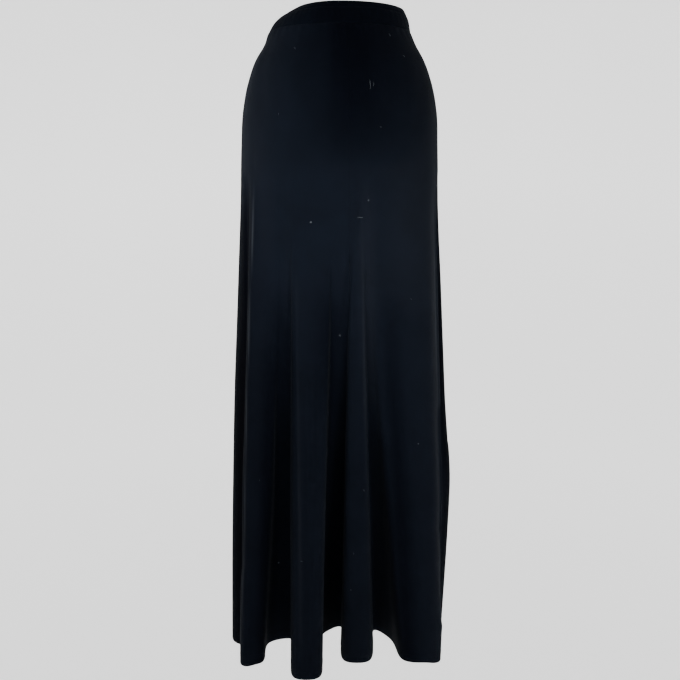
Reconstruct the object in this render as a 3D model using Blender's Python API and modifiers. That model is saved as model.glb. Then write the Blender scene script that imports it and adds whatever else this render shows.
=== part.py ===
"""Long flared pull-on skirt of fine black knit, in the filled-out form that it has when worn.

Metres, +Z up, the front faces -Y. The origin lies in the middle of the waistband.
The cloth is one surface with two coordinates: how far round it lies, and how far it drops
below the top edge. A body form gives its shape above, and rows of crests and valleys
give its folds, which grow from the hips down to the hem.
"""
import bpy
import numpy as np
from collections import namedtuple
from math import cos, pi, radians, sin

NAME = "maxi_skirt"

# Driving sizes
LENGTH = 1.056
BAND_HEIGHT = 0.032
PANEL_WALL = 0.0016
BAND_WALL = 0.0024
SEAM_GAP = 0.0003
EDGE_STRIP = 0.002
PANEL_COLUMNS = 76
BAND_COLUMNS = 72

# Heights at which the panels have a row of corners, as drops below the top edge
PANEL_ROWS = (0.050, 0.075, 0.105, 0.150, 0.205, 0.270, 0.340, 0.400, 0.460, 0.530,
              0.610, 0.690, 0.780, 0.870, 0.960)
BAND_ROWS = (0.000, 0.006, 0.016)

# Body form: half widths to the left and right, half depths to the front and back.
# A squareness of 2 is an ellipse, and more than 2 fills out its corners.
Section = namedtuple("Section", "drop left right front back square")
SECTIONS = (
    Section(0.000, 0.066, 0.098, 0.078, 0.082, 2.05),
    Section(0.012, 0.089, 0.104, 0.083, 0.087, 2.05),
    Section(0.032, 0.106, 0.109, 0.090, 0.094, 2.05),
    Section(0.050, 0.113, 0.117, 0.095, 0.100, 2.10),
    Section(0.070, 0.126, 0.129, 0.101, 0.107, 2.10),
    Section(0.100, 0.138, 0.141, 0.107, 0.116, 2.10),
    Section(0.145, 0.148, 0.151, 0.112, 0.125, 2.15),
    Section(0.200, 0.152, 0.154, 0.114, 0.129, 2.20),
    Section(0.280, 0.155, 0.157, 0.115, 0.129, 2.20),
    Section(0.420, 0.163, 0.167, 0.116, 0.128, 2.20),
    Section(0.600, 0.174, 0.180, 0.117, 0.128, 2.20),
    Section(0.780, 0.181, 0.194, 0.118, 0.129, 2.20),
    Section(1.056, 0.190, 0.190, 0.120, 0.130, 2.20),
)

# Folds, going round from the left side by the front: the turn and spread in degrees of each
# crest or valley at the hips, then its middle, width and facing at the hem, the drop at
# which it starts, and how late it grows.
Fold = namedtuple("Fold", "name turn spread x y width facing start growth")
FOLDS = (
    Fold("left side crest", 183.0, 12.0, -0.191, -0.006, 0.036, 188.0, 0.24, 1.0),
    Fold("left side valley", 198.5, 1.5, -0.152, -0.046, 0.014, 226.0, 0.24, 1.0),
    Fold("front left crest", 213.0, 20.0, -0.148, -0.084, 0.031, 266.0, 0.26, 1.1),
    Fold("front left valley", 234.7, 1.4, -0.106, -0.020, 0.038, 288.0, 0.33, 1.2),
    Fold("front middle crest", 247.0, 18.0, -0.055, -0.126, 0.029, 270.0, 0.34, 1.1),
    Fold("front middle valley", 272.5, 7.0, -0.014, 0.012, 0.034, 308.0, 0.35, 1.2),
    Fold("front right crest", 283.0, 7.0, 0.031, -0.082, 0.036, 270.0, 0.34, 1.1),
    Fold("front right valley", 290.6, 2.0, 0.080, -0.002, 0.036, 222.0, 0.36, 1.3),
    Fold("right front crest", 321.0, 46.0, 0.142, -0.076, 0.060, 274.0, 0.34, 1.2),
    Fold("right front valley", 350.0, 3.0, 0.152, -0.016, 0.014, 320.0, 0.28, 1.0),
    Fold("right side crest", 362.0, 11.0, 0.187, 0.034, 0.032, 2.0, 0.28, 1.0),
    Fold("right side valley", 377.0, 5.0, 0.146, 0.070, 0.012, 22.0, 0.32, 1.1),
    Fold("back right crest", 394.0, 14.0, 0.136, 0.120, 0.030, 44.0, 0.34, 1.1),
    Fold("back right valley", 412.5, 7.0, 0.088, 0.088, 0.016, 62.0, 0.36, 1.1),
    Fold("back middle crest", 430.0, 13.0, 0.046, 0.152, 0.028, 82.0, 0.32, 1.1),
    Fold("back middle valley", 447.5, 9.0, -0.002, 0.094, 0.018, 90.0, 0.34, 1.1),
    Fold("back left crest", 465.0, 13.0, -0.052, 0.149, 0.030, 98.0, 0.34, 1.1),
    Fold("back left valley", 483.0, 7.0, -0.096, 0.086, 0.016, 116.0, 0.36, 1.1),
    Fold("left back crest", 502.0, 14.0, -0.144, 0.114, 0.030, 140.0, 0.34, 1.1),
    Fold("left back valley", 523.0, 6.0, -0.152, 0.058, 0.014, 164.0, 0.30, 1.1),
)
LEFT_SEAM = "left side crest"
RIGHT_SEAM = "right side crest"


def free_slopes(knots, values):
    """Slope at each knot, weighted by how near its neighbours lie."""
    step = np.diff(knots)[:, None]
    rise = np.diff(values, axis=0) / step
    slope = np.empty_like(values)
    slope[1:-1] = (rise[:-1] * step[1:] + rise[1:] * step[:-1]) / (step[1:] + step[:-1])
    slope[0] = rise[0]
    slope[-1] = rise[-1]
    return slope


def held_slopes(knots, values):
    """The same slopes, held back so that the curve never overshoots a knot."""
    rise = np.diff(values, axis=0) / np.diff(knots)[:, None]
    slope = free_slopes(knots, values)
    limit = 3 * np.minimum(np.abs(rise[:-1]), np.abs(rise[1:]))
    one_way = rise[:-1] * rise[1:] > 0
    slope[1:-1] = np.where(one_way, np.clip(slope[1:-1], -limit, limit), 0)
    return slope


def curve(at, knots, values, slope):
    """Cubic through the knots with the given slopes, for an array of places."""
    index = np.clip(np.searchsorted(knots, at, side="right") - 1, 0, len(knots) - 2)
    step = (knots[index + 1] - knots[index])[..., None]
    s = (at - knots[index])[..., None] / step
    start = (2 * s**3 - 3 * s**2 + 1) * values[index] + (s**3 - 2 * s**2 + s) * step * slope[index]
    end = (3 * s**2 - 2 * s**3) * values[index + 1] + (s**3 - s**2) * step * slope[index + 1]
    return start + end


def carried_round(knots, values, gain):
    """Knots from 0 to 1, carried on past both ends, where the values grow by gain a round."""
    far_knots = np.concatenate([knots[-3:] - 1, knots, knots[:3] + 1])
    far_values = np.concatenate([values[-3:] - gain, values, values[:3] + gain])
    return far_knots, far_values


def body_form(turn, drop):
    """Plan position on the body form: an ellipse with a radius of its own to each side."""
    table = np.array(SECTIONS)
    knots = table[:, 0]
    values = table[:, 1:]
    sizes = curve(drop, knots, values, held_slopes(knots, values))
    left, right, front, back, square = np.moveaxis(sizes, -1, 0)
    across = np.cos(turn)
    along = np.sin(turn)
    width = np.where(across < 0, left, right)
    depth = np.where(along < 0, front, back)
    radius = ((np.abs(across) / width) ** square + (np.abs(along) / depth) ** square) ** (-1 / square)
    return radius * across, radius * along


def fold_edges():
    """Both edges of each crest and valley: turn at the hips, x and y at the hem, start, growth."""
    rows = []
    for fold in FOLDS:
        facing = radians(fold.facing)
        for side in (-0.5, 0.5):
            turn = radians(fold.turn + side * fold.spread)
            x = fold.x - sin(facing) * side * fold.width
            y = fold.y + cos(facing) * side * fold.width
            rows.append((turn, x, y, fold.start, fold.growth))
    return np.array(rows)


def places_round(edges):
    """Place of each edge, from 0 to 1 round the hem, by the straight lengths between them."""
    corners = edges[:, 1:3]
    lengths = np.linalg.norm(np.roll(corners, -1, axis=0) - corners, axis=1)
    return (np.cumsum(lengths) - lengths) / lengths.sum()


def hip_turn(place):
    """Turn at the hips of the cloth at each place round the hem."""
    edges = fold_edges()
    knots, turns = carried_round(places_round(edges), edges[:, :1], 2 * pi)
    return curve(place, knots, turns, held_slopes(knots, turns))[..., 0]


def cloth(place, drop):
    """Points of the cloth's outer face: the body form, drawn out towards the folds at the hem."""
    edges = fold_edges()
    knots, values = carried_round(places_round(edges), edges[:, 1:], 0)
    hem = curve(place, knots, values, free_slopes(knots, values))
    hem_x, hem_y, start, growth = np.moveaxis(hem, -1, 0)
    turn = hip_turn(place)
    x, y = body_form(turn, drop)
    form_x, form_y = body_form(turn, np.full_like(drop, LENGTH))
    grown = np.clip((drop - start) / (LENGTH - start), 0, 1) ** growth
    x = x + grown * (hem_x - form_x)
    y = y + grown * (hem_y - form_y)
    return np.stack([x, y, BAND_HEIGHT / 2 - drop], axis=-1)


def seam_place(name):
    """Place round the hem of the middle of a crest, where a side seam runs."""
    places = places_round(fold_edges())
    index = [fold.name for fold in FOLDS].index(name)
    return (places[2 * index] + places[2 * index + 1]) / 2


def even_places(first, last, count):
    """Places between two seams, spaced evenly by half the hem's length and half the hips' turn."""
    fine = np.linspace(first, last, 2000)
    turn = hip_turn(fine)
    measure = (fine - first) / (last - first) + (turn - turn[0]) / (turn[-1] - turn[0])
    return np.interp(np.linspace(0, measure[-1], count), measure, fine)


def strip_place(place, drop, shift):
    """Place that lies a small length further round the cloth, at each drop."""
    nudge = 0.0005
    ahead = cloth(place + nudge, drop)
    behind = cloth(place - nudge, drop)
    length = np.linalg.norm(ahead - behind, axis=-1)
    return place + shift * 2 * nudge / length


def shell(name, points, closed_round, wall):
    """Grid of points, rows from the top down, as an open surface with an inward wall."""
    rows, columns = points.shape[:2]
    index = np.arange(rows * columns).reshape(rows, columns)
    if closed_round:
        index = np.concatenate([index, index[:, :1]], axis=1)
    quads = np.stack([index[:-1, :-1], index[1:, :-1], index[1:, 1:], index[:-1, 1:]], axis=-1)
    mesh = bpy.data.meshes.new(name)
    mesh.from_pydata(points.reshape(-1, 3).tolist(), [], quads.reshape(-1, 4).tolist())
    mesh.update()
    obj = bpy.data.objects.new(name, mesh)
    solid = obj.modifiers.new("wall", "SOLIDIFY")
    solid.thickness = wall
    solid.offset = -1
    solid.use_even_offset = True
    return obj


def panel(name, first, last):
    """A panel from seam to seam, with a narrow strip along its edges so that they run true."""
    top = BAND_HEIGHT + SEAM_GAP
    rows = np.array([top, top + EDGE_STRIP, *PANEL_ROWS, LENGTH])
    inner = even_places(first, last, PANEL_COLUMNS)[1:-1]
    drop = rows[:, None] + np.zeros(PANEL_COLUMNS + 2)
    place = np.zeros_like(drop)
    place[:, 2:-2] = inner
    place[:, 0] = strip_place(np.full(len(rows), first), rows, SEAM_GAP / 2)
    place[:, 1] = strip_place(np.full(len(rows), first), rows, EDGE_STRIP)
    place[:, -2] = strip_place(np.full(len(rows), last), rows, -EDGE_STRIP)
    place[:, -1] = strip_place(np.full(len(rows), last), rows, -SEAM_GAP / 2)
    return shell(name, cloth(place, drop), False, PANEL_WALL)


def waistband(name):
    """The elastic casing: a leaning ring just above both panels."""
    rows = np.array([*BAND_ROWS, BAND_HEIGHT - EDGE_STRIP, BAND_HEIGHT])
    turn, drop = np.meshgrid(np.linspace(0, 2 * pi, BAND_COLUMNS, endpoint=False), rows)
    x, y = body_form(turn, drop)
    points = np.stack([x, y, BAND_HEIGHT / 2 - drop], axis=-1)
    return shell(name, points, True, BAND_WALL)


def knit(name, colour, roughness):
    """Matt knit material."""
    material = bpy.data.materials.new(name)
    material.use_nodes = True
    shader = material.node_tree.nodes["Principled BSDF"]
    shader.inputs["Base Color"].default_value = (*colour, 1)
    shader.inputs["Roughness"].default_value = roughness
    shader.inputs["Metallic"].default_value = 0
    return material


def build():
    for old in list(bpy.data.objects):
        bpy.data.objects.remove(old, do_unlink=True)
    collection = bpy.data.collections.new(NAME)
    bpy.context.scene.collection.children.link(collection)
    left = seam_place(LEFT_SEAM)
    right = seam_place(RIGHT_SEAM)
    pieces = (
        (panel("front_panel", left, right), knit("front_knit", (0.0060, 0.0065, 0.0075), 0.85)),
        (panel("back_panel", right, left + 1), knit("back_knit", (0.0055, 0.0060, 0.0070), 0.85)),
        (waistband("waistband"), knit("band_knit", (0.0050, 0.0053, 0.0060), 0.80)),
    )
    for obj, material in pieces:
        obj.data.materials.append(material)
        collection.objects.link(obj)


build()
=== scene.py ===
"""A long flared pull-on skirt of fine black jersey, worn form, hanging from its waistband.

The front faces -Y. A drop is in metres down from the waistband's top edge. A turn goes round the
body form at the hips. In the tables it is in degrees, and 180 is the left side, 270 the front,
360 the right side and 450 the back. In the functions it is in radians, but for place_at_turn. A
place is a share of the way round the hem, 0 to 1 in the order of the turns.
"""
from collections import namedtuple
from math import cos, pi, radians, sin

import bpy
import numpy as np
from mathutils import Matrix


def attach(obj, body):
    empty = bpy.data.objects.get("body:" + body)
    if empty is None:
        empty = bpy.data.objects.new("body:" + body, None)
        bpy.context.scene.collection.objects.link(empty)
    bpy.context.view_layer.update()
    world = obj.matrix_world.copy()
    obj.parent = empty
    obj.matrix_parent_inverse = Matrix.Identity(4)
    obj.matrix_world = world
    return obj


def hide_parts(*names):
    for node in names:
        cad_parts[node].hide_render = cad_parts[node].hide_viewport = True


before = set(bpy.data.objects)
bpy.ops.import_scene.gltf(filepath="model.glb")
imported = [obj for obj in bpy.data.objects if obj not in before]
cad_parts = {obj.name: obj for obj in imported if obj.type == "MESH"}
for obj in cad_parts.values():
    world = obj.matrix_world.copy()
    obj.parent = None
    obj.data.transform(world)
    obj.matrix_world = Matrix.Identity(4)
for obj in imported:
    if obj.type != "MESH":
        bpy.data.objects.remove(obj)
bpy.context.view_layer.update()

# Sizes of the garment in metres
LENGTH = 1.056
BAND_HEIGHT = 0.032
BAND_LENGTH = 0.62
CHANNEL_DROP = 0.0088
CLOTH_WALL = 0.0008
HEM_TURN = 0.020
HEM_STITCH = 0.0028
BAND_STITCH = 0.0026
STITCH_GAP = 0.0007
ALLOWANCE_HALF = 0.0062
ALLOWANCE_WALL = 0.0007

# Radii of the hem's fold, the band's folded top, the sewing thread and the loose fibres
HEM_ROLL = 0.00095
BAND_ROLL = 0.0013
THREAD_RADIUS = 0.00022
FLUFF_RADIUS = 0.00016

# Reach in places of the mean that rounds the folds, and the small step that slopes are taken over
FOLD_ROUNDING = 0.0042
NUDGE = 0.0004

# Columns and rows of the panels and columns of the band
PANEL_COLUMNS = 236
PANEL_ROWS = 150
BAND_COLUMNS = 240

# The photo's view: distance and drop of the eye, tilt in degrees, and focus, centre and frame in pixels
VIEW_DISTANCE = 1.2
VIEW_DROP = 0.24
VIEW_TILT = 12.62
VIEW_FOCUS = 741.0
VIEW_CENTRE = (338.8, 340.5)
FRAME = 680
SENSOR = 36

# The studio: light from all round, the paper's glow, how bright the surroundings look, floor height
AMBIENT = 0.5
PAPER_GLOW = 0.7
PAPER_SEEN = 1.5
FLOOR = -1.45
STUDIO_SIDES = 96

# Soft white lights: width and height in metres, power in watts, half beam in degrees
Light = namedtuple("Light", "name place aim width height power beam")
LIGHTS = (
    Light("camera side", (0.5, -1.7, -0.30), (0.04, -0.1, -0.44), 0.4, 0.4, 0.44, 14),
    Light("camera middle", (0, -1.7, -0.45), (0, -0.1, -0.33), 0.3, 0.3, 0.43, 9),
    Light("left front", (-0.8, -1.5, -0.5), (-0.06, -0.05, -0.27), 0.3, 0.3, 0.26, 10),
    Light("left side", (-1.3, -0.9, -0.10), (-0.1, 0, -0.08), 0.4, 0.5, 1.1, 11),
    Light("right front", (0.9, -1.5, -0.6), (0.1, 0, -0.62), 0.4, 0.8, 1.45, 20),
    Light("back fill", (0, 2.0, 1.4), (0, 0, -0.5), 1.5, 1.0, 8, 90),
)

# Body form: half widths to the left and right, half depths to the front and back.
# A squareness of 2 is an ellipse, and more than 2 fills out its corners.
Section = namedtuple("Section", "drop left right front back square")
SECTIONS = (
    Section(0.000, 0.066, 0.098, 0.078, 0.082, 2.05),
    Section(0.012, 0.089, 0.104, 0.083, 0.087, 2.05),
    Section(0.032, 0.106, 0.109, 0.090, 0.094, 2.05),
    Section(0.050, 0.113, 0.117, 0.095, 0.100, 2.10),
    Section(0.070, 0.126, 0.129, 0.101, 0.107, 2.10),
    Section(0.100, 0.138, 0.141, 0.107, 0.116, 2.10),
    Section(0.145, 0.148, 0.151, 0.112, 0.125, 2.15),
    Section(0.200, 0.152, 0.154, 0.114, 0.129, 2.20),
    Section(0.280, 0.155, 0.157, 0.115, 0.129, 2.20),
    Section(0.420, 0.163, 0.167, 0.116, 0.128, 2.20),
    Section(0.600, 0.174, 0.180, 0.117, 0.128, 2.20),
    Section(0.780, 0.181, 0.194, 0.118, 0.129, 2.20),
    Section(1.056, 0.190, 0.190, 0.120, 0.130, 2.20),
)

# Folds, going round from the left side by the front: the turn and spread in degrees of each
# crest or valley at the hips, then its middle, width and facing at the hem, the drop at
# which it starts, and how late it grows.
Fold = namedtuple("Fold", "name turn spread x y width facing start growth")
FOLDS = (
    Fold("left side crest", 183.0, 12.0, -0.191, -0.006, 0.036, 188.0, 0.24, 1.0),
    Fold("left side valley", 198.5, 1.5, -0.152, -0.046, 0.014, 226.0, 0.24, 1.0),
    Fold("front left crest", 213.0, 20.0, -0.148, -0.084, 0.031, 266.0, 0.26, 1.1),
    Fold("front left valley", 234.7, 1.4, -0.106, -0.020, 0.038, 288.0, 0.33, 1.2),
    Fold("front middle crest", 247.0, 18.0, -0.055, -0.126, 0.029, 270.0, 0.34, 1.1),
    Fold("front middle valley", 272.5, 7.0, -0.014, 0.012, 0.034, 308.0, 0.35, 1.2),
    Fold("front right crest", 283.0, 7.0, 0.031, -0.082, 0.036, 270.0, 0.34, 1.1),
    Fold("front right valley", 290.6, 2.0, 0.080, -0.002, 0.036, 222.0, 0.36, 1.3),
    Fold("right front crest", 321.0, 46.0, 0.142, -0.076, 0.060, 274.0, 0.34, 1.2),
    Fold("right front valley", 350.0, 3.0, 0.152, -0.016, 0.014, 320.0, 0.28, 1.0),
    Fold("right side crest", 362.0, 11.0, 0.187, 0.034, 0.032, 2.0, 0.28, 1.0),
    Fold("right side valley", 377.0, 5.0, 0.146, 0.070, 0.012, 22.0, 0.32, 1.1),
    Fold("back right crest", 394.0, 14.0, 0.136, 0.120, 0.030, 44.0, 0.34, 1.1),
    Fold("back right valley", 412.5, 7.0, 0.088, 0.088, 0.016, 62.0, 0.36, 1.1),
    Fold("back middle crest", 430.0, 13.0, 0.046, 0.152, 0.028, 82.0, 0.32, 1.1),
    Fold("back middle valley", 447.5, 9.0, -0.002, 0.094, 0.018, 90.0, 0.34, 1.1),
    Fold("back left crest", 465.0, 13.0, -0.052, 0.149, 0.030, 98.0, 0.34, 1.1),
    Fold("back left valley", 483.0, 7.0, -0.096, 0.086, 0.016, 116.0, 0.36, 1.1),
    Fold("left back crest", 502.0, 14.0, -0.144, 0.114, 0.030, 140.0, 0.34, 1.1),
    Fold("left back valley", 523.0, 6.0, -0.152, 0.058, 0.014, 164.0, 0.30, 1.1),
)
LEFT_SEAM = "left side crest"
RIGHT_SEAM = "right side crest"

# Loose fibres, with the lean in degrees from upright and the bow as a share of the length
Fibre = namedtuple("Fibre", "turn drop length lean bow")
FRONT_FIBRES = (
    Fibre(292.6, 0.116, 0.013, 2.0, 0.15),
    Fibre(295.2, 0.116, 0.006, -6.0, 0.20),
    Fibre(299.3, 0.174, 0.003, 70.0, 0.10),
    Fibre(227.8, 0.155, 0.003, 20.0, 0.10),
    Fibre(234.9, 0.066, 0.003, 50.0, 0.30),
    Fibre(321.6, 0.074, 0.003, 30.0, 0.10),
    Fibre(314.3, 0.046, 0.004, 15.0, 0.20),
    Fibre(286.2, 0.301, 0.008, 88.0, 0.15),
    Fibre(272.2, 0.479, 0.005, 10.0, 0.30),
    Fibre(272.2, 0.4795, 0.004, 75.0, 0.30),
    Fibre(286.2, 0.732, 0.004, 35.0, 0.30),
    Fibre(280.5, 0.913, 0.003, 60.0, 0.20),
    Fibre(281.5, 0.845, 0.003, 10.0, 0.20),
    Fibre(241.9, 0.843, 0.003, 75.0, 0.20),
    Fibre(319.1, 0.424, 0.003, 40.0, 0.30),
    Fibre(218.7, 0.719, 0.003, 20.0, 0.20),
)
BACK_FIBRES = (
    Fibre(421.0, 0.210, 0.006, 30.0, 0.30),
    Fibre(446.0, 0.380, 0.004, 80.0, 0.20),
    Fibre(463.0, 0.620, 0.007, 10.0, 0.25),
    Fibre(482.0, 0.150, 0.004, 55.0, 0.20),
    Fibre(404.0, 0.760, 0.004, 25.0, 0.20),
    Fibre(436.0, 0.880, 0.005, 65.0, 0.30),
)

# Soft ridges (height above 0) and troughs (below 0) laid along given lines on the cloth.
# Each runs from one turn and drop to another, with its half width and height in metres. It is
# strongest at its peak, a share of the way along.
Line = namedtuple("Line", "name turn_a drop_a turn_b drop_b width height peak")
CREASES = (
    Line("hip pull left", 206.0, 0.060, 222.0, 0.190, 0.011, -0.0008, 0.4),
    Line("hip pull right", 336.0, 0.070, 322.0, 0.210, 0.012, -0.0007, 0.4),
    Line("left side trough", 202.0, 0.240, 198.5, 1.040, 0.010, -0.0060, 0.4),
    Line("right side trough", 351.0, 0.240, 351.0, 1.040, 0.009, -0.0055, 0.4),
    Line("thigh slant", 287.5, 0.250, 273.0, 0.500, 0.008, -0.0032, 0.55),
    Line("thigh slant lip", 283.0, 0.290, 266.0, 0.480, 0.010, 0.0010, 0.6),
    Line("left thigh trough", 232.0, 0.240, 234.0, 0.760, 0.010, -0.0040, 0.6),
    Line("middle sub fold", 252.0, 0.520, 254.0, 0.760, 0.006, -0.0020, 0.5),
    Line("right lobe swell", 318.0, 0.480, 330.0, 1.000, 0.026, 0.0022, 0.6),
    Line("right lobe dent", 303.0, 0.480, 306.0, 1.040, 0.014, -0.0060, 0.7),
    Line("right hem corner", 340.0, 0.820, 344.0, 1.360, 0.015, 0.0060, 0.5),
    Line("right lobe edge", 342.0, 0.260, 343.0, 0.980, 0.014, -0.0045, 0.5),
    Line("right lobe low edge", 343.0, 0.600, 344.0, 0.990, 0.014, -0.0060, 0.5),
    Line("right side swell", 359.0, 0.690, 360.0, 1.080, 0.020, 0.0020, 0.4),
    Line("left hem corner", 206.0, 0.880, 203.0, 1.300, 0.013, 0.0060, 0.5),
    Line("left front swell", 209.0, 0.260, 203.5, 1.250, 0.013, 0.0034, 0.5),
    Line("seat swell left", 476.0, 0.130, 470.0, 0.330, 0.030, 0.0018, 0.4),
    Line("seat swell right", 424.0, 0.130, 430.0, 0.330, 0.030, 0.0018, 0.4),
    Line("small of the back", 450.0, 0.040, 450.0, 0.140, 0.016, -0.0015, 0.4),
)

# Lines of painted highlight (height above 0) and painted shade (below 0) in the cloth's colour: highlights
# on fold edges and lit flanks, shade in the valleys, side recesses and upper front. The height is a share
# here, not a size.
PAINTED_LIGHT_LINES = (
    Line("left front edge", 210.5, 0.170, 203.0, 1.090, 0.0011, 1.3, 0.35),
    Line("right front edge", 341.5, 0.170, 343.5, 1.090, 0.0013, 1.1, 0.35),
    Line("right lobe side", 340.0, 0.080, 341.0, 1.200, 0.013, 0.20, 0.45),
    Line("right fold edge", 286.9, 0.260, 287.6, 1.000, 0.0032, 0.20, 0.4),
    Line("left fold edge", 240.0, 0.360, 240.5, 1.020, 0.0026, 0.25, 0.4),
    Line("left hip edge", 192.0, 0.000, 201.0, 0.300, 0.020, 0.22, 0.45),
    Line("left hip flank", 211.0, 0.020, 213.0, 0.400, 0.028, 0.08, 0.4),
    Line("right hip flank", 322.0, 0.120, 320.0, 0.460, 0.048, 0.11, 0.4),
    Line("right fold shoulder", 291.5, 0.200, 290.5, 0.640, 0.016, 0.10, 0.5),
    Line("left side recess", 199.0, 0.220, 188.0, 1.500, 0.025, -1.0, 0.25),
    Line("right side recess", 352.0, 0.200, 359.0, 1.500, 0.016, -1.0, 0.25),
    Line("front left valley", 233.0, 0.380, 231.0, 1.400, 0.020, -0.7, 0.6),
    Line("front left valley left side", 225.6, 0.440, 228.0, 1.500, 0.016, -0.8, 0.5),
    Line("front left valley right side", 236.5, 0.400, 236.8, 1.500, 0.011, -1.0, 0.5),
    Line("front middle valley", 270.5, 0.420, 269.0, 1.400, 0.021, -0.8, 0.6),
    Line("front middle valley left side", 264.6, 0.370, 267.2, 1.500, 0.022, -1.0, 0.5),
    Line("front right valley", 292.0, 0.570, 296.0, 1.400, 0.022, -0.8, 0.6),
    Line("front right valley right side", 304.5, 0.400, 298.5, 1.500, 0.015, -0.65, 0.5),
    Line("upper front", 279.0, -0.100, 280.5, 0.225, 0.084, -0.76, 0.45),
)


def free_slopes(knots, values):
    """Slope at each knot, weighted by how near its neighbours lie."""
    step = np.diff(knots)[:, None]
    rise = np.diff(values, axis=0) / step
    slope = np.empty_like(values)
    slope[1:-1] = (rise[:-1] * step[1:] + rise[1:] * step[:-1]) / (step[1:] + step[:-1])
    slope[0] = rise[0]
    slope[-1] = rise[-1]
    return slope


def held_slopes(knots, values):
    """The same slopes, held back so that the curve never overshoots a knot."""
    rise = np.diff(values, axis=0) / np.diff(knots)[:, None]
    slope = free_slopes(knots, values)
    limit = 3 * np.minimum(np.abs(rise[:-1]), np.abs(rise[1:]))
    one_way = rise[:-1] * rise[1:] > 0
    slope[1:-1] = np.where(one_way, np.clip(slope[1:-1], -limit, limit), 0)
    return slope


def curve(at, knots, values, slope):
    """Cubic Hermite curve through the knots with the given slopes, for an array of places."""
    index = np.clip(np.searchsorted(knots, at, side="right") - 1, 0, len(knots) - 2)
    step = (knots[index + 1] - knots[index])[..., None]
    s = (at - knots[index])[..., None] / step
    start = (2 * s**3 - 3 * s**2 + 1) * values[index] + (s**3 - 2 * s**2 + s) * step * slope[index]
    end = (3 * s**2 - 2 * s**3) * values[index + 1] + (s**3 - s**2) * step * slope[index + 1]
    return start + end


def carried_round(knots, values, gain):
    """Knots from 0 to 1, carried on past both ends, where the values grow by gain a round."""
    far_knots = np.concatenate([knots[-3:] - 1, knots, knots[:3] + 1])
    far_values = np.concatenate([values[-3:] - gain, values, values[:3] + gain])
    return far_knots, far_values


def body_form(turn, drop):
    """Plan position on the body form: a superellipse with a radius of its own to each side."""
    table = np.array(SECTIONS)
    knots = table[:, 0]
    values = table[:, 1:]
    sizes = curve(drop, knots, values, held_slopes(knots, values))
    left, right, front, back, square = np.moveaxis(sizes, -1, 0)
    across = np.cos(turn)
    along = np.sin(turn)
    width = np.where(across < 0, left, right)
    depth = np.where(along < 0, front, back)
    radius = ((np.abs(across) / width) ** square + (np.abs(along) / depth) ** square) ** (-1 / square)
    return radius * across, radius * along


def fold_edges():
    """Both edges of each crest and valley: turn at the hips, x and y at the hem, start, growth."""
    rows = []
    for fold in FOLDS:
        facing = radians(fold.facing)
        for side in (-0.5, 0.5):
            turn = radians(fold.turn + side * fold.spread)
            x = fold.x - sin(facing) * side * fold.width
            y = fold.y + cos(facing) * side * fold.width
            rows.append((turn, x, y, fold.start, fold.growth))
    return np.array(rows)


EDGES = fold_edges()


def places_round():
    """Place of each fold edge, 0 to 1 round the hem, by the straight lengths between them."""
    ends = EDGES[:, 1:3]
    lengths = np.linalg.norm(np.roll(ends, -1, axis=0) - ends, axis=1)
    return (np.cumsum(lengths) - lengths) / lengths.sum()


PLACES = places_round()


def hip_turn(place):
    """Turn at the hips of the cloth at each place round the hem."""
    knots, turns = carried_round(PLACES, EDGES[:, :1], 2 * pi)
    return curve(place, knots, turns, held_slopes(knots, turns))[..., 0]


def cloth(place, drop):
    """The cloth's outer face before its creases: body form plus growth times (hem - form)."""
    knots, values = carried_round(PLACES, EDGES[:, 1:], 0)
    hem = curve(place, knots, values, free_slopes(knots, values))
    hem_x, hem_y, start, growth = np.moveaxis(hem, -1, 0)
    turn = hip_turn(place)
    x, y = body_form(turn, drop)
    form_x, form_y = body_form(turn, np.full_like(drop, LENGTH))
    grown = np.clip((drop - start) / (LENGTH - start), 0, 1) ** growth
    x = x + grown * (hem_x - form_x)
    y = y + grown * (hem_y - form_y)
    return np.stack([x, y, BAND_HEIGHT / 2 - drop], axis=-1)


def soft_cloth(place, drop):
    """The cloth with its folds rounded: a bell-weighted mean of near places, wider towards the hem."""
    reach = FOLD_ROUNDING * np.clip((drop - 0.25) / (LENGTH - 0.25), 0, 1)
    points = 0.38 * cloth(place, drop)
    for step, weight in ((-2, 0.07), (-1, 0.24), (1, 0.24), (2, 0.07)):
        points += weight * cloth(place + step * reach, drop)
    return points


def outward(place, drop):
    """Unit normal of the cloth: the cross product of its slopes round and down."""
    round_slope = soft_cloth(place + NUDGE, drop) - soft_cloth(place - NUDGE, drop)
    down_slope = soft_cloth(place, drop + NUDGE) - soft_cloth(place, drop - NUDGE)
    normal = np.cross(down_slope, round_slope)
    return normal / np.linalg.norm(normal, axis=-1, keepdims=True)


def stretch(place, drop):
    """Metres of cloth for each unit of place."""
    step = soft_cloth(place + NUDGE, drop) - soft_cloth(place - NUDGE, drop)
    return np.linalg.norm(step, axis=-1) / (2 * NUDGE)


def place_at_turn(degrees):
    """Inverse of hip_turn, read off a fine table of it."""
    fine = np.linspace(-0.2, 1.2, 6001)
    return np.interp(np.radians(degrees), hip_turn(fine), fine)


def along_line(here, place, drop, row):
    """Bell across the line by real distance, rising and falling along it from end to end.

    It fades out from 0.10 to 0.24 of the way round, so that it never reaches the far wall.
    """
    level = drop if drop.ndim == 1 else drop[:, :1]
    t = np.clip((level - row.drop_a) / (row.drop_b - row.drop_a), 0, 1)
    line = place_at_turn(row.turn_a + (row.turn_b - row.turn_a) * t)
    away = np.linalg.norm(here - soft_cloth(line, level), axis=-1)
    apart = np.abs((place - line + 0.5) % 1 - 0.5)
    near = np.clip((0.24 - apart) / 0.14, 0, 1)
    rise = (t / row.peak) ** row.peak * ((1 - t) / (1 - row.peak)) ** (1 - row.peak)
    return np.exp(-(away / row.width) ** 2) * rise * near


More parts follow.
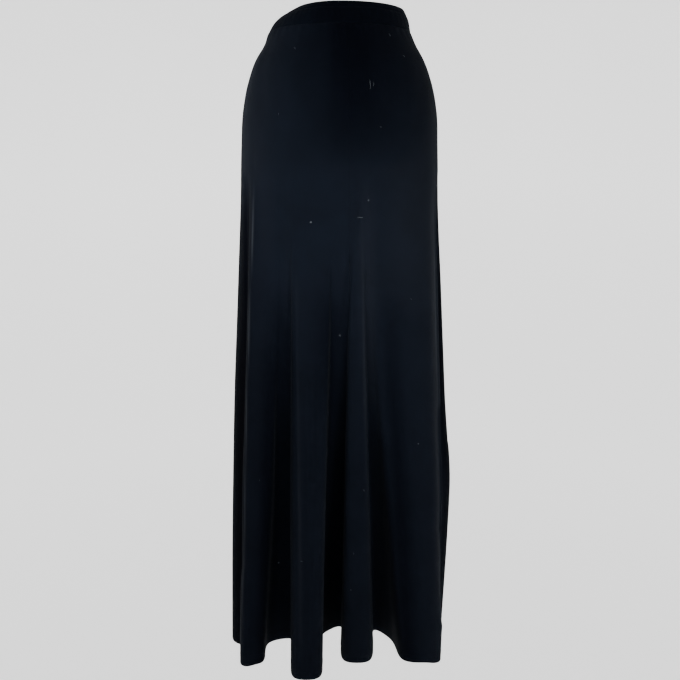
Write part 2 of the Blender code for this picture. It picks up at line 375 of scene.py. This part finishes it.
def creased(place, drop):
    """Sum of the ridges and troughs along their lines, plus a slow unevenness of sines."""
    height = np.zeros_like(drop)
    here = soft_cloth(place, drop)
    for row in CREASES:
        height += row.height * along_line(here, place, drop, row)
    turn = hip_turn(place)
    waves = np.sin(3 * turn + 7 * drop) * np.sin(5 * drop + 1.3)
    waves = waves + 0.6 * np.sin(7 * turn - 11 * drop + 0.7)
    fade = np.clip((drop - 0.05) / 0.2, 0, 1)
    return height + 0.0005 * waves * fade


def painted_light_and_shade(place, drop):
    """Share of painted highlight and painted shade: the strongest pale line plus the strongest dark one at
    each point.

    Each line fades in over the first 8 cm of its drop.
    """
    pale = np.zeros_like(drop)
    painted_shade = np.zeros_like(drop)
    here = soft_cloth(place, drop)
    for row in PAINTED_LIGHT_LINES:
        fade = np.clip((drop - row.drop_a) / 0.08, 0, 1)
        amount = row.height * along_line(here, place, drop, row) * fade**2 * (3 - 2 * fade)
        pale = np.maximum(pale, amount)
        painted_shade = np.minimum(painted_shade, amount)
    return pale + painted_shade * np.clip(1 - pale, 0, 1)


def seam_place(name):
    """Place of the middle of a crest, where a side seam runs."""
    index = [fold.name for fold in FOLDS].index(name)
    return (PLACES[2 * index] + PLACES[2 * index + 1]) / 2


def even_places(first, last, count):
    """Places from seam to seam, spaced by half the hem's length and half the hips' turn."""
    fine = np.linspace(first, last, 4000)
    turn = hip_turn(fine)
    measure = (fine - first) / (last - first) + (turn - turn[0]) / (turn[-1] - turn[0])
    return np.interp(np.linspace(0, measure[-1], count), measure, fine)


def linked_mesh(name, points, faces):
    """A smooth mesh object in the scene."""
    mesh = bpy.data.meshes.new(name)
    mesh.from_pydata(points.reshape(-1, 3), [], faces)
    mesh.shade_smooth()
    obj = bpy.data.objects.new(name, mesh)
    bpy.context.scene.collection.objects.link(obj)
    return obj


def corners(grid):
    """The four corners of each face of a grid of point numbers."""
    return np.stack([grid[:-1, :-1], grid[1:, :-1], grid[1:, 1:], grid[:-1, 1:]], axis=-1)


def grid_piece(name, points, uv, wall, closed_round=False, light_paint=None):
    """Grid of points, rows from the top down, as a sheet with its UVs and an inward thickness."""
    rows, columns = points.shape[:2]
    index = np.arange(rows * columns).reshape(rows, columns)
    flat_index = np.arange(rows * uv.shape[1]).reshape(rows, uv.shape[1])
    if closed_round:
        index = np.concatenate([index, index[:, :1]], axis=1)
    obj = linked_mesh(name, points, corners(index).reshape(-1, 4))
    layer = obj.data.uv_layers.new(name="cloth")
    layer.data.foreach_set("uv", uv.reshape(-1, 2)[corners(flat_index).ravel()].ravel())
    # Share of painted highlight (above 0) and painted shade (below 0) at each point, read by the colour
    paint_attribute = obj.data.attributes.new("painted_light_and_shade", "FLOAT", "POINT")
    paint_attribute.data.foreach_set("value", np.zeros(rows * columns) if light_paint is None else light_paint.ravel())
    obj.data.update()
    solid = obj.modifiers.new("cloth thickness", "SOLIDIFY")
    solid.thickness = wall
    solid.offset = -1
    return obj


def panel_rows():
    """Drop and inset of each row: down the outside, round the hem's fold, up the turned-in hem."""
    top = BAND_HEIGHT + np.array([0, 0.001, 0.002, 0.004])
    middle = np.linspace(BAND_HEIGHT + 0.008, LENGTH - 0.010, PANEL_ROWS)
    low = [LENGTH - 0.006, LENGTH - 0.003, LENGTH - HEM_ROLL]
    outside = np.concatenate([top, middle, low])
    roll = np.radians([30, 60, 90, 120, 150, 180])
    inside = LENGTH - np.array([0.003, 0.008, 0.014, HEM_TURN])
    drop = np.concatenate([outside, LENGTH - HEM_ROLL + HEM_ROLL * np.sin(roll), inside])
    inset = np.concatenate([np.zeros(len(outside)), HEM_ROLL * (1 - np.cos(roll)),
                            np.full(len(inside), 2 * HEM_ROLL)])
    return drop, inset


def panel(name, first, last):
    """A panel from seam to seam with its edges pulled in at the seams and its hem turned up.

    Its points are the soft cloth moved out along the normal by the creases less the inset. Bells
    pull it in at the seams and under the band, and sines round the band pucker it there.
    """
    drop, inset = panel_rows()
    inner = even_places(first, last, PANEL_COLUMNS)[1:-1]
    near = np.array([0, 0.001, 0.002, 0.004])
    left = first + near / stretch(np.full(len(drop), first), drop)[:, None]
    right = last - near[::-1] / stretch(np.full(len(drop), last), drop)[:, None]
    place = np.concatenate([left, np.broadcast_to(inner, (len(drop), len(inner))), right], axis=1)
    drop = drop[:, None] + np.zeros_like(place)
    edge = np.minimum(place - first, last - place) * stretch(place, drop)
    top = drop - BAND_HEIGHT
    height = creased(place, drop)
    height -= 0.0004 * np.exp(-(edge / 0.0025) ** 2)
    height -= 0.0003 * np.exp(-(top / 0.0025) ** 2)
    height += 0.0003 * np.exp(-((top - 0.006) / 0.006) ** 2) * np.sin(46 * hip_turn(place))
    points = soft_cloth(place, drop) + outward(place, drop) * (height - inset[:, None])[..., None]
    step = np.linalg.norm(np.diff(points, axis=1), axis=-1)
    along = np.concatenate([np.zeros((len(step), 1)), np.cumsum(step, axis=1)], axis=1)
    along -= along[:, along.shape[1] // 2][:, None] - 1
    down = np.linalg.norm(np.diff(points, axis=0), axis=-1).mean(axis=1)
    fall = np.concatenate([[0], np.cumsum(down)])
    uv = np.stack([along, 2 - fall[:, None] + np.zeros_like(along)], axis=-1)
    # The panel's colour carries painted highlight and painted shade along the listed lines.
    return grid_piece(name, points, uv, CLOTH_WALL, light_paint=painted_light_and_shade(place, drop))


def seam_allowance(name, middle):
    """The joined edges inside a side seam: a narrow ribbon that follows the cloth, a little wavy."""
    drop, off = np.meshgrid(np.linspace(BAND_HEIGHT + 0.002, LENGTH - HEM_TURN - 0.002, 160),
                            np.linspace(-ALLOWANCE_HALF, ALLOWANCE_HALF, 9), indexing="ij")
    column = np.full_like(drop, middle)
    place = middle + off / stretch(column, drop)
    wave = 0.0003 * (off / ALLOWANCE_HALF) ** 2 * (1 + np.sin(160 * drop))
    height = creased(place, drop) - 0.0014 - wave
    points = soft_cloth(place, drop) + outward(place, drop) * height[..., None]
    uv = np.stack([off, -drop], axis=-1)
    return grid_piece(name, points, uv, ALLOWANCE_WALL)


def rods(name, centre, up, side, girth, sides):
    """Thin closed bars, each a row of rings about its centre line, by bar, step and xyz."""
    count, steps = centre.shape[:2]
    angle = np.linspace(0, 2 * pi, sides, endpoint=False)
    ring = np.cos(angle)[:, None] * side[:, :, None, :] + np.sin(angle)[:, None] * up[:, :, None, :]
    points = centre[:, :, None, :] + ring * girth[None, :, None, None]
    base = (np.arange(count) * steps * sides)[:, None, None]
    row = np.arange(steps - 1)[:, None] * sides
    j = np.arange(sides)
    after = (j + 1) % sides
    quads = np.stack([row + j, row + after, row + sides + after, row + sides + j], axis=-1)
    quads = quads.reshape(1, -1, 4) + base
    low = j[::-1] + base[:, 0]
    high = (steps - 1) * sides + j + base[:, 0]
    faces = [*quads.reshape(-1, 4).tolist(), *low.tolist(), *high.tolist()]
    return linked_mesh(name, points, faces)


def fibre(name, rows):
    """Loose fibres on the cloth: each a short bowed thread of five sides, laid at its place."""
    rows = np.array(rows)
    turn, drop, length, lean, bow = rows.T
    place = place_at_turn(turn)
    t = np.linspace(-0.5, 0.5, 7)
    metres = stretch(place, drop)
    lean = np.radians(lean)
    bulge = bow[:, None] * (0.25 - t**2)
    across = length[:, None] * (np.sin(lean)[:, None] * t + np.cos(lean)[:, None] * bulge)
    down = length[:, None] * (np.cos(lean)[:, None] * t - np.sin(lean)[:, None] * bulge)
    at = (place[:, None] + across / metres[:, None]).ravel()
    level = (drop[:, None] + down).ravel()
    up = outward(at, level)
    centre = soft_cloth(at, level) + up * (creased(at, level) + FLUFF_RADIUS * 0.6)[..., None]
    up = up.reshape(len(rows), len(t), 3)
    centre = centre.reshape(len(rows), len(t), 3)
    ahead = centre[:, -1:] - centre[:, :1]
    ahead = ahead / np.linalg.norm(ahead, axis=-1, keepdims=True)
    taper = FLUFF_RADIUS * np.sqrt(1.02 - (2 * t) ** 2)
    return rods(name, centre, up, np.cross(up, ahead), taper, 5)


def band_face(turn, drop):
    """Point of the body form at a height that is never above the band's top edge."""
    return np.stack([*body_form(turn, np.clip(drop, 0, None)), BAND_HEIGHT / 2 - drop], axis=-1)


def band_point(turn, drop, inset):
    """Point of the band: the body form, moved in along its normal."""
    nudge = 0.0005
    round_slope = band_face(turn + nudge, drop) - band_face(turn - nudge, drop)
    down_slope = band_face(turn, drop + nudge) - band_face(turn, np.clip(drop - nudge, 0, None))
    normal = np.cross(down_slope, round_slope)
    normal /= np.linalg.norm(normal, axis=-1, keepdims=True)
    return band_face(turn, drop) - normal * inset[..., None]


def waistband(name):
    """The casing: up the outside, over the rolled top edge and down the inside.

    Bells press in the stitched channel and the lower edge, and sines round the band pucker it.
    Painted shade darkens its colour at the front, in a bell round its turn.
    """
    roll = np.radians([180, 150, 120, 90, 60, 30])
    inside = np.linspace(BAND_HEIGHT + 0.005, BAND_ROLL + 0.001, 9)
    outside = np.concatenate([np.linspace(BAND_ROLL + 0.001, 0.006, 6),
                              np.linspace(CHANNEL_DROP - 0.002, CHANNEL_DROP + 0.002, 9),
                              np.linspace(0.012, BAND_HEIGHT - 0.003, 10),
                              [BAND_HEIGHT - 0.0015, BAND_HEIGHT]])
    drop = np.concatenate([inside, BAND_ROLL - BAND_ROLL * np.sin(roll), outside])
    inset = np.concatenate([np.full(len(inside), 2 * BAND_ROLL), BAND_ROLL * (1 - np.cos(roll)),
                            np.zeros(len(outside))])
    turn = np.linspace(0, 2 * pi, BAND_COLUMNS, endpoint=False)
    turn, drop = np.meshgrid(turn, drop)
    inset = inset[:, None] + np.zeros_like(turn)
    outer = inset < BAND_ROLL
    channel = 0.0006 * np.exp(-((drop - CHANNEL_DROP) / 0.0011) ** 2)
    lower = 0.0005 * np.exp(-((drop - BAND_HEIGHT) / 0.0018) ** 2)
    pucker = 0.00022 * np.sin(61 * turn + 2 * np.sin(3 * turn))
    pucker *= np.sin(pi * np.clip(drop / BAND_HEIGHT, 0, 1))
    inset = inset + np.where(outer, channel + lower, 0) - pucker
    points = band_point(turn, drop, inset)
    around = np.linspace(0, BAND_LENGTH, BAND_COLUMNS + 1)
    step = np.linalg.norm(np.diff(points[:, 0], axis=0), axis=-1)
    fall = np.concatenate([[0], np.cumsum(step)])
    uv = np.stack(np.broadcast_arrays(around[None, :], 1 - fall[:, None]), axis=-1)
    # Painted shade: the band's colour is darker in a bell round the front.
    painted_shade = -0.55 * np.exp(-((turn - radians(272)) / 0.8) ** 2)
    return grid_piece(name, points, uv, CLOTH_WALL, closed_round=True, light_paint=painted_shade)


def stitches(name, line, normal, length):
    """A row of short threads laid along a line: each is a thin rounded bar half sunk in the cloth."""
    step = np.linalg.norm(np.diff(line, axis=0), axis=-1)
    measure = np.concatenate([[0], np.cumsum(step)])
    count = int(measure[-1] // (length + STITCH_GAP))
    mid = (np.arange(count) + 0.5) * measure[-1] / count
    t = np.linspace(-1, 1, 5)
    at = mid[:, None] + t * length / 2
    centre = np.stack([np.interp(at, measure, line[:, i]) for i in range(3)], axis=-1)
    up = np.stack([np.interp(at, measure, normal[:, i]) for i in range(3)], axis=-1)
    up /= np.linalg.norm(up, axis=-1, keepdims=True)
    ahead = centre[:, -1] - centre[:, 0]
    ahead /= np.linalg.norm(ahead, axis=-1, keepdims=True)
    side = np.cross(up, ahead[:, None, :])
    girth = THREAD_RADIUS * np.sqrt(np.clip(1.04 - t**2, 0, 1))
    lift = THREAD_RADIUS * 0.5 * (1 - t**2)
    return rods(name, centre + up * lift[None, :, None], up, side, girth, 6)


def hem_stitches(name, first, last, drop):
    """A stitch row round a panel's hem at one height."""
    place = np.linspace(first + 0.002, last - 0.002, 1500)
    level = np.full_like(place, drop)
    normal = outward(place, level)
    line = soft_cloth(place, level) + normal * (creased(place, level) + 0.0001)[:, None]
    return stitches(name, line, normal, HEM_STITCH)


def band_stitches(name):
    """A stitch row round the waistband in its channel."""
    turn = np.linspace(0, 2 * pi, 900)
    level = np.full_like(turn, CHANNEL_DROP)
    line = band_point(turn, level, np.full_like(turn, 0.0005))
    inner = band_point(turn, level, np.full_like(turn, 0.0015))
    normal = (line - inner) / 0.001
    return stitches(name, line, normal, BAND_STITCH)


def feed(tree, socket, value):
    """Sets a socket to a value, or links another node's output to it."""
    if isinstance(value, bpy.types.NodeSocket):
        tree.links.new(value, socket)
    else:
        socket.default_value = value


def math_node(tree, operation, first, second=None):
    """A Math node whose inputs are links or numbers."""
    node = tree.nodes.new("ShaderNodeMath")
    node.operation = operation
    feed(tree, node.inputs[0], first)
    if second is not None:
        feed(tree, node.inputs[1], second)
    return node.outputs[0]


def colour_mix(tree, factor, first, second, blend="MIX"):
    """A colour Mix node whose inputs are links or values."""
    node = tree.nodes.new("ShaderNodeMix")
    node.data_type = "RGBA"
    node.blend_type = blend
    for title, value in (("Factor", factor), ("A", first), ("B", second)):
        feed(tree, node.inputs[title], value)
    return node.outputs["Result"]


def node_group(name, inputs, output):
    """A group that takes a vector and the named numbers: its tree, its inputs and its output."""
    group = bpy.data.node_groups.new(name, "ShaderNodeTree")
    group.interface.new_socket(name="Vector", in_out="INPUT", socket_type="NodeSocketVector")
    for title in inputs:
        group.interface.new_socket(name=title, in_out="INPUT", socket_type="NodeSocketFloat")
    group.interface.new_socket(name=output, in_out="OUTPUT", socket_type="NodeSocketFloat")
    start = group.nodes.new("NodeGroupInput")
    end = group.nodes.new("NodeGroupOutput")
    return group, start.outputs, end.inputs[output]


def use_group(tree, group, vector, numbers):
    """A node that runs a group on a vector, with its numbers set."""
    node = tree.nodes.new("ShaderNodeGroup")
    node.node_tree = group
    tree.links.new(vector, node.inputs["Vector"])
    for title, value in numbers.items():
        node.inputs[title].default_value = value
    return node.outputs[0]


def jersey_loops():
    """Height of plain knit: columns of V-shaped loops, from a UV in metres and the loop's width.

    The height is 0.4 sin(2 pi (1.3 down + 1.1 off)) - 0.6 cos(2 pi off), with off the distance
    from the middle of its column, and all in loops.
    """
    group, given, height = node_group("jersey loops", ["Loop Width"], "Height")
    split = group.nodes.new("ShaderNodeSeparateXYZ")
    group.links.new(given["Vector"], split.inputs[0])
    across = math_node(group, "DIVIDE", split.outputs[0], given["Loop Width"])
    down = math_node(group, "DIVIDE", split.outputs[1], given["Loop Width"])
    share = math_node(group, "FRACT", across)
    off = math_node(group, "ABSOLUTE", math_node(group, "SUBTRACT", share, 0.5))
    fall = math_node(group, "MULTIPLY", down, 1.3)
    slant = math_node(group, "ADD", fall, math_node(group, "MULTIPLY", off, 1.1))
    loops = math_node(group, "SINE", math_node(group, "MULTIPLY", slant, 2 * pi))
    column = math_node(group, "COSINE", math_node(group, "MULTIPLY", off, 2 * pi))
    loops = math_node(group, "MULTIPLY", loops, 0.4)
    column = math_node(group, "MULTIPLY", column, -0.6)
    group.links.new(math_node(group, "ADD", loops, column), height)
    return group


def worn_tone():
    """Slow light and dark patches of washed knit, as a factor round 1: a sum of three noises."""
    group, given, tone = node_group("worn tone", ["Amount"], "Tone")
    total = None
    for scale, share in ((14.0, 0.5), (75.0, 0.3), (420.0, 0.35)):
        noise = group.nodes.new("ShaderNodeTexNoise")
        noise.inputs["Scale"].default_value = scale
        noise.inputs["Detail"].default_value = 3.0
        group.links.new(given["Vector"], noise.inputs["Vector"])
        part = math_node(group, "SUBTRACT", noise.outputs["Fac"], 0.5)
        part = math_node(group, "MULTIPLY", part, share)
        total = part if total is None else math_node(group, "ADD", total, part)
    total = math_node(group, "MULTIPLY", total, given["Amount"])
    group.links.new(math_node(group, "ADD", total, 1.0), tone)
    return group


def lint_specks():
    """Mask of sparse pale specks: small dots at some cells of a Voronoi pattern."""
    group, given, mask = node_group("lint specks", ["Cells", "Share"], "Mask")
    cells = group.nodes.new("ShaderNodeTexVoronoi")
    group.links.new(given["Vector"], cells.inputs["Vector"])
    group.links.new(given["Cells"], cells.inputs["Scale"])
    split = group.nodes.new("ShaderNodeSeparateColor")
    group.links.new(cells.outputs["Color"], split.inputs[0])
    chosen = math_node(group, "LESS_THAN", split.outputs[0], given["Share"])
    size = math_node(group, "MULTIPLY", split.outputs[1], 0.09)
    near = math_node(group, "LESS_THAN", cells.outputs["Distance"], size)
    group.links.new(math_node(group, "MULTIPLY", chosen, near), mask)
    return group


LOOPS = jersey_loops()
TONE = worn_tone()
LINT = lint_specks()

PALE_LINT = (0.04, 0.045, 0.05, 1)
# Colours mixed in by the painted value: painted shade below 0, painted highlight above 0.
PAINTED_SHADE_COLOUR = (0.00006, 0.00020, 0.0010, 1)
PAINTED_HIGHLIGHT_COLOUR = (0.018, 0.020, 0.024, 1)


def new_material(name, roughness, specular=None):
    """A material, its node tree and its shader."""
    material = bpy.data.materials.new(name)
    material.use_nodes = True
    shader = material.node_tree.nodes["Principled BSDF"]
    shader.inputs["Roughness"].default_value = roughness
    if specular is not None:
        shader.inputs["Specular IOR Level"].default_value = specular
    return material, material.node_tree, shader


def jersey(name, colour, loop_width, sheen):
    """Black jersey: loops as bump, slow tone, a few specks of lint, and the nap's sheen.

    The mesh's painted value mixes the colour towards painted shade below 0 and painted highlight above.
    """
    material, tree, shader = new_material(name, 0.80, specular=0.012)
    shader.inputs["Sheen Weight"].default_value = sheen
    shader.inputs["Sheen Roughness"].default_value = 0.45
    shader.inputs["Sheen Tint"].default_value = (0.82, 0.92, 1.0, 1.0)
    uv = tree.nodes.new("ShaderNodeUVMap")
    uv.uv_map = "cloth"
    spot = tree.nodes.new("ShaderNodeTexCoord").outputs["Object"]
    bump = tree.nodes.new("ShaderNodeBump")
    bump.inputs["Strength"].default_value = 0.5
    bump.inputs["Distance"].default_value = 0.0002
    loops = use_group(tree, LOOPS, uv.outputs["UV"], {"Loop Width": loop_width})
    tree.links.new(loops, bump.inputs["Height"])
    tree.links.new(bump.outputs["Normal"], shader.inputs["Normal"])
    tone = use_group(tree, TONE, spot, {"Amount": 1.1})
    dyed = colour_mix(tree, 1.0, (*colour, 1), tone, blend="MULTIPLY")
    lint = use_group(tree, LINT, spot, {"Cells": 48.0, "Share": 0.06})
    specked = colour_mix(tree, lint, dyed, PALE_LINT)
    # Painted shade and painted highlight: the mesh's painted value darkens or lightens the colour.
    paint_attribute = tree.nodes.new("ShaderNodeAttribute")
    paint_attribute.attribute_name = "painted_light_and_shade"
    below = math_node(tree, "MULTIPLY", paint_attribute.outputs["Fac"], -1.0)
    painted_shade = colour_mix(tree, math_node(tree, "MAXIMUM", below, 0.0), specked, PAINTED_SHADE_COLOUR)
    above = math_node(tree, "MULTIPLY", paint_attribute.outputs["Fac"], 0.6)
    # Colour with the painted highlight mixed in.
    worn = colour_mix(tree, math_node(tree, "MAXIMUM", above, 0.0), painted_shade, PAINTED_HIGHLIGHT_COLOUR)
    tree.links.new(worn, shader.inputs["Base Color"])
    return material


def thread(name, colour):
    """Sewing thread with a fine twist along it."""
    material, tree, shader = new_material(name, 0.7, specular=0.02)
    twist = tree.nodes.new("ShaderNodeTexNoise")
    twist.inputs["Scale"].default_value = 2500.0
    spot = tree.nodes.new("ShaderNodeTexCoord").outputs["Object"]
    tree.links.new(spot, twist.inputs["Vector"])
    dark = (*[0.6 * c for c in colour], 1)
    light = (*[1.5 * c for c in colour], 1)
    mix = colour_mix(tree, twist.outputs["Fac"], dark, light)
    tree.links.new(mix, shader.inputs["Base Color"])
    return material


def clad(obj, material, node=None):
    """Gives a piece its material, body and slot, and hides the solid that it stands for."""
    obj.data.materials.append(material)
    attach(obj, "root")
    if node is not None:
        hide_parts(node)


def dress():
    """All pieces of the skirt."""
    left = seam_place(LEFT_SEAM)
    right = seam_place(RIGHT_SEAM)
    knit = jersey("black jersey", (0.0020, 0.0028, 0.0049), 0.0010, 0.010)
    # The band's copy of the jersey is darker, as painted shade at the top.
    shaded_band_knit = jersey("band jersey in painted shade", (0.0013, 0.0020, 0.0037), 0.0009, 0.008)
    sewing = thread("black thread", (0.0024, 0.0032, 0.0050))
    fluff = thread("pale fibre", (0.10, 0.11, 0.12))
    front = panel("front_panel_cloth", left, right)
    back = panel("back_panel_cloth", right, left + 1)
    band = waistband("waistband_casing")
    hem_rows = (("upper", LENGTH - HEM_TURN + 0.001), ("lower", LENGTH - HEM_TURN + 0.005))
    front_rows = [hem_stitches(f"front_hem_stitches_{row}", left, right, drop) for row, drop in hem_rows]
    back_rows = [hem_stitches(f"back_hem_stitches_{row}", right, left + 1, drop) for row, drop in hem_rows]
    channel = band_stitches("waistband_channel_stitches")
    left_edge = seam_allowance("left_seam_allowance", left)
    right_edge = seam_allowance("right_seam_allowance", right)
    front_lint = fibre("front_lint_fibres", FRONT_FIBRES)
    back_lint = fibre("back_lint_fibres", BACK_FIBRES)
    clad(front, knit, node="front_panel")
    clad(back, knit, node="back_panel")
    clad(band, shaded_band_knit, node="waistband")
    for obj in front_rows:
        clad(obj, sewing)
    for obj in back_rows:
        clad(obj, sewing)
    clad(channel, sewing)
    clad(left_edge, knit)
    clad(right_edge, knit)
    clad(front_lint, fluff)
    clad(back_lint, fluff)


def area_light(row):
    """A soft square light that faces a point."""
    data = bpy.data.lights.new(row.name, "AREA")
    data.shape = "RECTANGLE"
    data.size = row.width
    data.size_y = row.height
    data.energy = row.power
    data.spread = radians(2 * row.beam)
    obj = bpy.data.objects.new(row.name, data)
    bpy.context.scene.collection.objects.link(obj)
    way = np.array(row.aim, float) - np.array(row.place, float)
    flat = np.hypot(way[0], way[1])
    obj.rotation_euler = (np.arctan2(flat, -way[2]), 0, np.arctan2(-way[0], way[1]))
    obj.location = row.place


def camera():
    """The photo's view, with its centre shifted to the photo's."""
    data = bpy.data.cameras.new("view")
    data.sensor_width = SENSOR
    data.lens = VIEW_FOCUS / FRAME * SENSOR
    data.shift_x = (FRAME / 2 - VIEW_CENTRE[0]) / FRAME
    data.shift_y = (VIEW_CENTRE[1] - FRAME / 2) / FRAME
    obj = bpy.data.objects.new("view", data)
    obj.location = (0, -VIEW_DISTANCE, BAND_HEIGHT / 2 - VIEW_DROP)
    obj.rotation_euler = (radians(90 - VIEW_TILT), 0, 0)
    bpy.context.scene.collection.objects.link(obj)
    bpy.context.scene.camera = obj


def paper():
    """Pale glowing paper that is clear from behind, so that the floor hides nothing from below."""
    material, tree, shader = new_material("pale paper", 0.9)
    shader.inputs["Base Color"].default_value = (0.9, 0.9, 0.9, 1)
    shader.inputs["Emission Color"].default_value = (1, 1, 1, 1)
    shader.inputs["Emission Strength"].default_value = PAPER_GLOW
    geometry = tree.nodes.new("ShaderNodeNewGeometry")
    clear = tree.nodes.new("ShaderNodeBsdfTransparent")
    one_way = tree.nodes.new("ShaderNodeMixShader")
    tree.links.new(geometry.outputs["Backfacing"], one_way.inputs["Fac"])
    tree.links.new(shader.outputs["BSDF"], one_way.inputs[1])
    tree.links.new(clear.outputs["BSDF"], one_way.inputs[2])
    tree.links.new(one_way.outputs["Shader"], tree.nodes["Material Output"].inputs["Surface"])
    return material


def surroundings():
    """An even white world that looks brighter to the camera than it lights."""
    world = bpy.data.worlds.new("studio")
    bpy.context.scene.world = world
    world.use_nodes = True
    tree = world.node_tree
    background = tree.nodes["Background"]
    background.inputs["Color"].default_value = (1, 1, 1, 1)
    seen = tree.nodes.new("ShaderNodeLightPath")
    lift = math_node(tree, "MULTIPLY", seen.outputs["Is Camera Ray"], PAPER_SEEN - AMBIENT)
    tree.links.new(math_node(tree, "ADD", lift, AMBIENT), background.inputs["Strength"])


def studio():
    """A round pale floor that curves up into a wall on all sides, a profile turned about the middle."""
    bend = np.linspace(0, pi / 2, 13)
    radius = np.concatenate([[0.02, 0.8, 1.6], 2.2 + 1.2 * np.sin(bend), [3.4, 3.4]])
    height = np.concatenate([[0, 0, 0], 1.2 - 1.2 * np.cos(bend), [2.0, 2.8]]) + FLOOR
    turn = np.linspace(0, 2 * pi, STUDIO_SIDES, endpoint=False)
    x = radius[:, None] * np.cos(turn)
    y = radius[:, None] * np.sin(turn)
    rings = np.stack(np.broadcast_arrays(x, y, height[:, None]), axis=-1)
    index = np.arange(len(rings) * STUDIO_SIDES).reshape(-1, STUDIO_SIDES)
    quads = corners(np.concatenate([index, index[:, :1]], axis=1)).reshape(-1, 4)
    floor = linked_mesh("floor", rings, [*quads.tolist(), index[0][::-1].tolist()])
    floor.data.materials.append(paper())
    surroundings()
    for row in LIGHTS:
        area_light(row)


camera()
dress()
studio()
